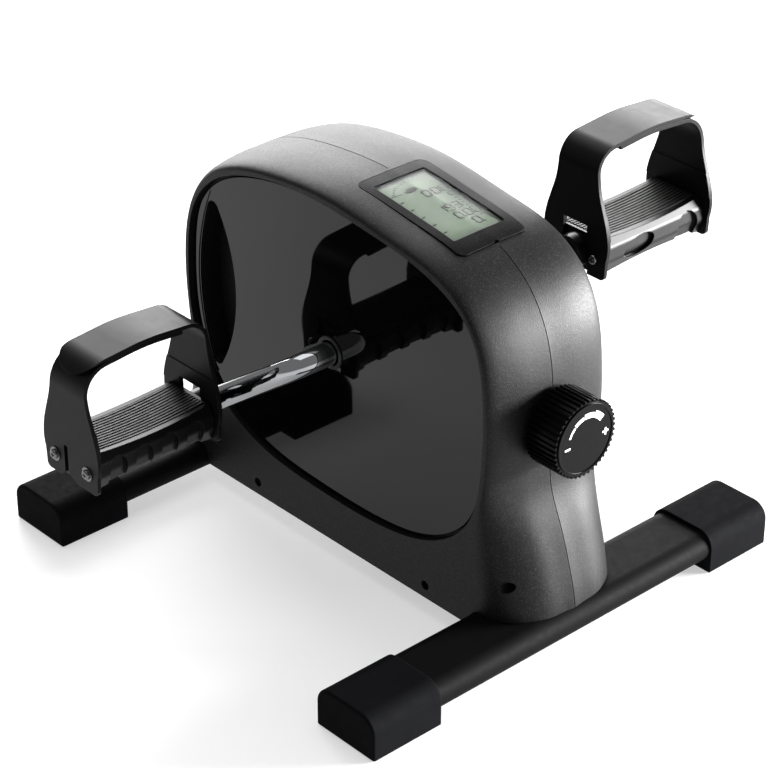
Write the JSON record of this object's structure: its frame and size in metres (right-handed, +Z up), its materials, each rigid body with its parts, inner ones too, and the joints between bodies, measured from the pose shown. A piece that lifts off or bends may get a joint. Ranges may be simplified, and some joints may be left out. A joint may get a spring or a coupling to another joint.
{
  "type": "pedal exerciser",
  "caption": "Under-desk pedal exerciser: moulded housing on stabiliser bars, bent crank with strapped pedals, magnetic brake, tension knob and lift-out counter.",
  "frame": {"origin": "on the floor, midway between the two stabiliser bars and between the two sides", "axes": "+X along the crank axis towards the right pedal, -Y towards the tension knob at the front, +Z up"},
  "size_m": [0.445, 0.3896, 0.2995],
  "materials": {
    "bar_paint": "satin black powder coat",
    "cap_rubber": "soft matte",
    "housing_plastic": "fine grained matte",
    "piano_black": "polished",
    "collar_plastic": "matte",
    "crank_chrome": "bright chrome plate",
    "frame_paint": "satin",
    "zinc_steel": "zinc plated",
    "black_screw": "black oxide",
    "pedal_screw": "dark nickel",
    "pulley_plastic": "moulded",
    "magnet_nickel": "nickel plated",
    "flywheel_iron": "turned rim",
    "belt_rubber": "matte",
    "knob_plastic": "satin moulded",
    "scale_print": "printed",
    "bush_nylon": "natural nylon",
    "nut_brass": "machined",
    "monitor_plastic": "satin",
    "monitor_window": "clear polished",
    "lcd_green": "pale green display",
    "board_green": "solder mask",
    "cell_jacket": "printed jacket",
    "socket_plastic": "moulded",
    "wire_jacket": "soft",
    "pedal_plastic": "semi-gloss moulded",
    "tread_rubber": "matte ribbed",
    "strap_plastic": "flexible satin"
  },
  "bodies": {
    "frame": {"front_bar": "bar_paint", "rear_bar": "bar_paint", "front_bar_caps": "cap_rubber", "rear_bar_caps": "cap_rubber", "base_plate": "frame_paint", "frame_bolts": "zinc_steel", "left_housing": "housing_plastic", "right_housing": "housing_plastic", "left_gloss_panel": "piano_black", "right_gloss_panel": "piano_black", "left_crank_collar": "collar_plastic", "right_crank_collar": "collar_plastic", "left_frame_plate": "frame_paint", "right_frame_plate": "frame_paint", "bearing_cups": "zinc_steel", "crank_bearings": "zinc_steel", "housing_screws": "black_screw", "flywheel_axle": "zinc_steel", "axle_nuts": "zinc_steel", "drive_belt": "belt_rubber", "knob_bushing": "bush_nylon", "tension_guide": "frame_paint", "brake_pivot_pin": "zinc_steel", "contact_socket": "socket_plastic", "crank_sensor": "frame_paint", "sensor_wire": "wire_jacket"},
    "crank": {"crank_rod": "crank_chrome", "crank_flange": "zinc_steel", "drive_pulley": "pulley_plastic", "pulley_bolts": "zinc_steel", "sensor_magnet": "magnet_nickel", "spindle_clips": "zinc_steel"},
    "left_pedal": {"left_pedal_body": "pedal_plastic", "left_pedal_tread": "tread_rubber", "left_inner_strap": "strap_plastic", "left_outer_strap": "strap_plastic", "left_pedal_screws": "pedal_screw"},
    "right_pedal": {"right_pedal_body": "pedal_plastic", "right_pedal_tread": "tread_rubber", "right_inner_strap": "strap_plastic", "right_outer_strap": "strap_plastic", "right_pedal_screws": "pedal_screw"},
    "flywheel": {"flywheel": "flywheel_iron", "flywheel_pulley": "zinc_steel", "flywheel_bearings": "zinc_steel"},
    "knob": {"tension_knob": "knob_plastic", "knob_scale": "scale_print", "tension_screw": "zinc_steel"},
    "nut": {"tension_nut": "nut_brass"},
    "brake": {"brake_arm": "zinc_steel", "brake_magnets": "magnet_nickel"},
    "monitor": {"monitor_case": "monitor_plastic", "monitor_bezel": "monitor_plastic", "monitor_lens": "monitor_window", "monitor_lcd": "lcd_green", "monitor_board": "board_green", "monitor_battery": "cell_jacket", "battery_door": "monitor_plastic"}
  },
  "joints": [
    {"name": "crank_spin", "type": "hinge", "parent": "frame", "child": "crank", "pos_m": [0, 0.0045, 0.165], "axis": [1, 0, 0], "continuous": true},
    {"name": "left_pedal_spin", "type": "hinge", "parent": "crank", "child": "left_pedal", "pos_m": [-0.165, 0.07755, 0.11347], "axis": [1, 0, 0], "continuous": true},
    {"name": "right_pedal_spin", "type": "hinge", "parent": "crank", "child": "right_pedal", "pos_m": [0.165, -0.06855, 0.21653], "axis": [1, 0, 0], "continuous": true},
    {"name": "flywheel_spin", "type": "hinge", "parent": "frame", "child": "flywheel", "pos_m": [0, -0.07, 0.112], "axis": [1, 0, 0], "continuous": true},
    {"name": "knob_turn", "type": "hinge", "parent": "frame", "child": "knob", "pos_m": [0, -0.18, 0.163], "axis": [0, 1, 0], "range_deg": [0, 270]},
    {"name": "nut_slide", "type": "slide", "parent": "frame", "child": "nut", "axis": [0, 1, 0], "range_m": [0, 0.006]},
    {"name": "brake_swing", "type": "hinge", "parent": "frame", "child": "brake", "pos_m": [0, -0.1375, 0.215], "axis": [1, 0, 0], "range_deg": [0, 7.91]},
    {"name": "monitor_lift", "type": "slide", "parent": "frame", "child": "monitor", "axis": [0, -0.1556, 0.9878], "range_m": [0, 0.03]}
  ],
  "couplings": [
    {"joint": "flywheel_spin", "follows": "crank_spin", "ratio": 5.1667},
    {"joint": "nut_slide", "follows": "knob_turn", "m_per_rad": 0.001273},
    {"joint": "brake_swing", "follows": "knob_turn", "ratio": 0.02927}
  ]
}
